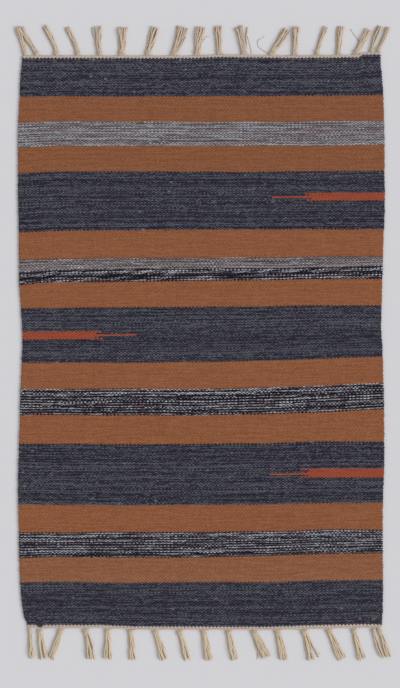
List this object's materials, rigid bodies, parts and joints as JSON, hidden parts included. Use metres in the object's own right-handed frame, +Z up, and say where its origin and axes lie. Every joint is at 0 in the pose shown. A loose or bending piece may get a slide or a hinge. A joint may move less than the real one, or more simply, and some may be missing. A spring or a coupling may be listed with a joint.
{
  "type": "flat-woven kilim floor rug",
  "caption": "Flat-woven cotton floor rug with cross stripes and short inlaid bars, a twined heading at each end and rows of knotted warp tassels, lying flat.",
  "frame": {"origin": "on the floor, under the centre of the rug's bounding box, tassels included", "axes": "+X across the rug (the picture's right), +Y along it (the picture's top end), +Z up from the floor"},
  "size_m": [0.6186, 1.0476, 0.0056],
  "materials": {
    "woven_cloth": "weft-faced plain weave in thick cotton yarn: marled navy and grey stripes, terracotta brown stripes, black and white space-dyed stripes, rust-orange inlaid bars",
    "heading_yarn": "undyed cream cotton yarns twined round the warps",
    "tassel_yarn": "undyed cream cotton warp yarns, softly twisted, knotted in bunches"
  },
  "bodies": {
    "root": {"rug_cloth": "woven_cloth", "heading_upper": "heading_yarn", "heading_lower": "heading_yarn", "tassel_upper_01": "tassel_yarn", "tassel_upper_02": "tassel_yarn", "tassel_upper_03": "tassel_yarn", "tassel_upper_04": "tassel_yarn", "tassel_upper_05": "tassel_yarn", "tassel_upper_06": "tassel_yarn", "tassel_upper_07": "tassel_yarn", "tassel_upper_08": "tassel_yarn", "tassel_upper_09": "tassel_yarn", "tassel_upper_10": "tassel_yarn", "tassel_upper_11": "tassel_yarn", "tassel_upper_12": "tassel_yarn", "tassel_upper_13": "tassel_yarn", "tassel_upper_14": "tassel_yarn", "tassel_upper_15": "tassel_yarn", "tassel_upper_16": "tassel_yarn", "tassel_upper_17": "tassel_yarn", "tassel_upper_18": "tassel_yarn", "tassel_lower_01": "tassel_yarn", "tassel_lower_02": "tassel_yarn", "tassel_lower_03": "tassel_yarn", "tassel_lower_04": "tassel_yarn", "tassel_lower_05": "tassel_yarn", "tassel_lower_06": "tassel_yarn", "tassel_lower_07": "tassel_yarn", "tassel_lower_08": "tassel_yarn", "tassel_lower_09": "tassel_yarn", "tassel_lower_10": "tassel_yarn", "tassel_lower_11": "tassel_yarn", "tassel_lower_12": "tassel_yarn", "tassel_lower_13": "tassel_yarn", "tassel_lower_14": "tassel_yarn", "tassel_lower_15": "tassel_yarn", "tassel_lower_16": "tassel_yarn", "tassel_lower_17": "tassel_yarn"}
  },
  "joints": []
}
